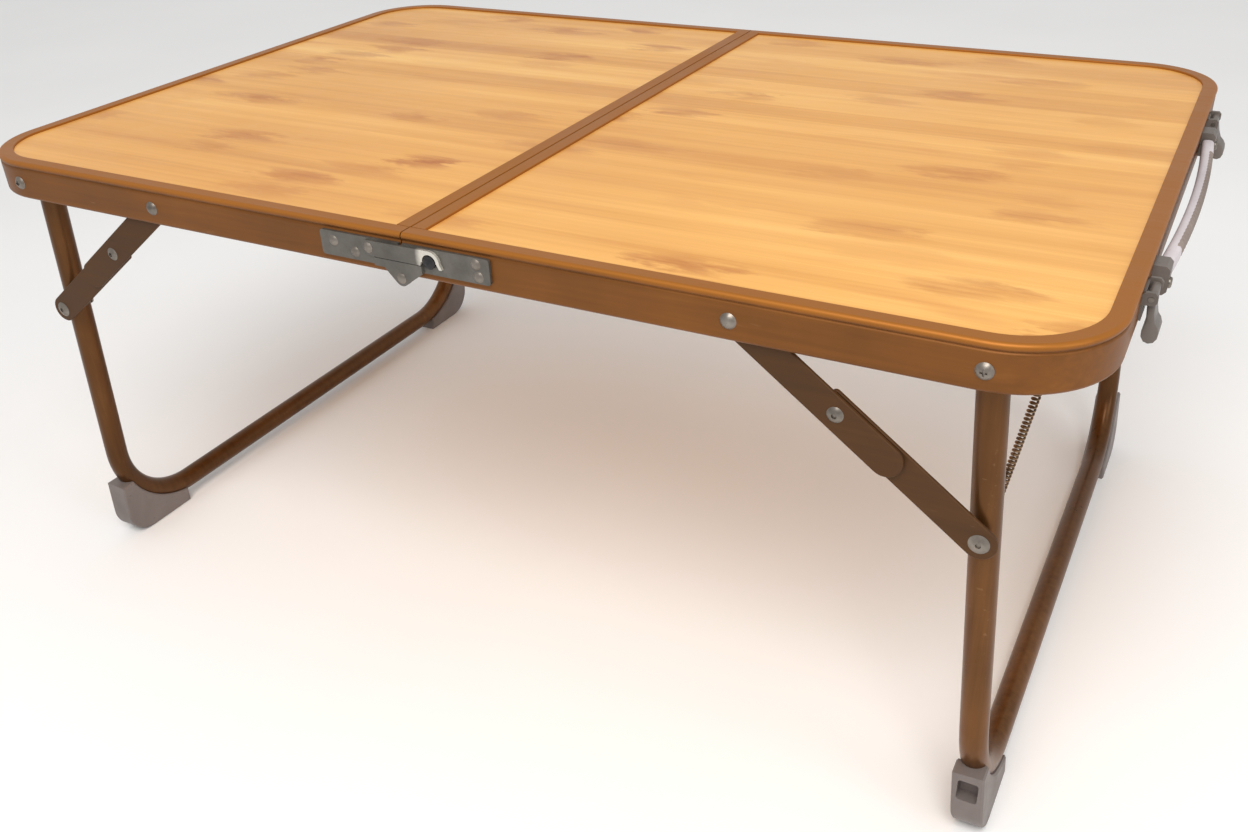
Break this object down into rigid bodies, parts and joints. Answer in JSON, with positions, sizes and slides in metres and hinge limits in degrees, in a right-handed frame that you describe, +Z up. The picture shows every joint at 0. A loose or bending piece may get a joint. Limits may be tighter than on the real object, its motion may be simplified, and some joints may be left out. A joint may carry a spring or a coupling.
{
  "type": "folding tray table",
  "caption": "Low folding tray table with a wood-print board, bronze metal edge rails, fold-flat U-shaped legs with link stays, a middle hinge and a carrying handle.",
  "frame": {"origin": "on the floor, under the middle hinge and midway between the front and back rails", "axes": "+X along the table towards the carrying handle, +Y from front to back, +Z up"},
  "size_m": [0.6142, 0.408, 0.26],
  "materials": {
    "printed_board": "satin bamboo-grain print",
    "bronze_rail": "satin bronze anodised",
    "bronze_tube": "bright bronze anodised",
    "bronze_link": "satin bronze anodised",
    "plated_steel": "zinc plated",
    "spring_steel": "zinc plated wire",
    "hinge_steel": "dark zinc plated",
    "foot_plastic": "moulded warm grey",
    "handle_plastic": "moulded pale grey",
    "clasp_plastic": "moulded dark grey"
  },
  "bodies": {
    "right_top": {"right_rail": "bronze_rail", "right_seam_rail": "bronze_rail", "right_board": "printed_board", "right_board_clips": "plated_steel", "right_leg_bolts": "plated_steel", "right_leg_spacers": "plated_steel", "right_leg_nuts": "plated_steel", "right_stay_rail_rivets": "plated_steel", "right_spring_anchor": "plated_steel", "front_right_leaf": "hinge_steel", "back_right_leaf": "hinge_steel", "hinge_pins": "hinge_steel", "catch_rollers": "hinge_steel", "right_leaf_rivets": "hinge_steel", "handle_brackets": "handle_plastic", "handle_pins": "plated_steel", "handle_screws": "plated_steel", "clasp_bases": "clasp_plastic", "clasp_pins": "plated_steel"},
    "left_top": {"left_rail": "bronze_rail", "left_seam_rail": "bronze_rail", "left_board": "printed_board", "left_board_clips": "plated_steel", "left_leg_bolts": "plated_steel", "left_leg_spacers": "plated_steel", "left_leg_nuts": "plated_steel", "left_stay_rail_rivets": "plated_steel", "left_spring_anchor": "plated_steel", "front_left_leaf": "hinge_steel", "back_left_leaf": "hinge_steel", "hook_pins": "hinge_steel", "left_leaf_rivets": "hinge_steel", "clasp_keepers": "clasp_plastic"},
    "right_leg_frame": {"right_leg": "bronze_tube", "right_front_foot": "foot_plastic", "right_back_foot": "foot_plastic", "right_leg_rivets": "plated_steel"},
    "right_upper_links": {"right_front_upper_link": "bronze_link", "right_back_upper_link": "bronze_link", "right_elbow_rivets": "plated_steel"},
    "right_lower_links": {"right_front_lower_link": "bronze_link", "right_back_lower_link": "bronze_link", "right_elbow_tails": "plated_steel"},
    "right_spring_body": {"right_spring": "spring_steel"},
    "left_leg_frame": {"left_leg": "bronze_tube", "left_front_foot": "foot_plastic", "left_back_foot": "foot_plastic", "left_leg_rivets": "plated_steel"},
    "left_upper_links": {"left_front_upper_link": "bronze_link", "left_back_upper_link": "bronze_link", "left_elbow_rivets": "plated_steel"},
    "left_lower_links": {"left_front_lower_link": "bronze_link", "left_back_lower_link": "bronze_link", "left_elbow_tails": "plated_steel"},
    "left_spring_body": {"left_spring": "spring_steel"},
    "front_catch": {"front_hook": "hinge_steel"},
    "back_catch": {"back_hook": "hinge_steel"},
    "handle": {"handle_grip": "handle_plastic"},
    "front_clasp_body": {"front_clasp": "clasp_plastic"},
    "back_clasp_body": {"back_clasp": "clasp_plastic"}
  },
  "joints": [
    {"name": "top_fold", "type": "hinge", "parent": "right_top", "child": "left_top", "pos_m": [0, 0, 0.2392], "axis": [0, -1, 0], "range_deg": [0, 90]},
    {"name": "right_leg_fold", "type": "hinge", "parent": "right_top", "child": "right_leg_frame", "pos_m": [0.258, 0, 0.248], "axis": [0, 1, 0], "range_deg": [0, 94], "stiffness_Nm_per_rad": 0.05, "springref_deg": -34.38},
    {"name": "right_upper_link_turn", "type": "hinge", "parent": "right_top", "child": "right_upper_links", "pos_m": [0.1584, 0, 0.248], "axis": [0, 1, 0], "range_deg": [0, 142.98]},
    {"name": "right_lower_link_turn", "type": "hinge", "parent": "right_leg_frame", "child": "right_lower_links", "pos_m": [0.26355, 0, 0.16869], "axis": [0, 1, 0], "range_deg": [-131.04, 0]},
    {"name": "right_spring_turn", "type": "hinge", "parent": "right_top", "child": "right_spring_body", "pos_m": [0.277, 0, 0.25], "axis": [0, 1, 0], "range_deg": [0, 79.45], "deforming": ["right_spring"]},
    {"name": "left_leg_fold", "type": "hinge", "parent": "left_top", "child": "left_leg_frame", "pos_m": [-0.258, 0, 0.248], "axis": [0, -1, 0], "range_deg": [0, 94], "stiffness_Nm_per_rad": 0.05, "springref_deg": -34.38},
    {"name": "left_upper_link_turn", "type": "hinge", "parent": "left_top", "child": "left_upper_links", "pos_m": [-0.1584, 0, 0.248], "axis": [0, -1, 0], "range_deg": [0, 142.98]},
    {"name": "left_lower_link_turn", "type": "hinge", "parent": "left_leg_frame", "child": "left_lower_links", "pos_m": [-0.26355, 0, 0.16869], "axis": [0, -1, 0], "range_deg": [-131.04, 0]},
    {"name": "left_spring_turn", "type": "hinge", "parent": "left_top", "child": "left_spring_body", "pos_m": [-0.277, 0, 0.25], "axis": [0, -1, 0], "range_deg": [0, 79.45], "deforming": ["left_spring"]},
    {"name": "front_hook_lift", "type": "hinge", "parent": "left_top", "child": "front_catch", "pos_m": [-0.017, 0, 0.2514], "axis": [0, -1, 0], "range_deg": [0, 35]},
    {"name": "back_hook_lift", "type": "hinge", "parent": "left_top", "child": "back_catch", "pos_m": [-0.017, 0, 0.2514], "axis": [0, -1, 0], "range_deg": [0, 35]},
    {"name": "handle_swing", "type": "hinge", "parent": "right_top", "child": "handle", "pos_m": [0.3034, 0, 0.2504], "axis": [0, -1, 0], "range_deg": [0, 90]},
    {"name": "front_clasp_swing", "type": "hinge", "parent": "right_top", "child": "front_clasp_body", "pos_m": [0.3032, 0, 0.2526], "axis": [0, -1, 0], "range_deg": [0, 100]},
    {"name": "back_clasp_swing", "type": "hinge", "parent": "right_top", "child": "back_clasp_body", "pos_m": [0.3032, 0, 0.2526], "axis": [0, -1, 0], "range_deg": [-10, 90]}
  ],
  "couplings": [
    {"joint": "right_upper_link_turn", "follows": "right_leg_fold", "ratio": 1.521},
    {"joint": "right_lower_link_turn", "follows": "right_leg_fold", "ratio": -1.3939},
    {"joint": "right_spring_turn", "follows": "right_leg_fold", "ratio": 0.84511},
    {"joint": "left_upper_link_turn", "follows": "left_leg_fold", "ratio": 1.521},
    {"joint": "left_lower_link_turn", "follows": "left_leg_fold", "ratio": -1.3939},
    {"joint": "left_spring_turn", "follows": "left_leg_fold", "ratio": 0.84511}
  ]
}
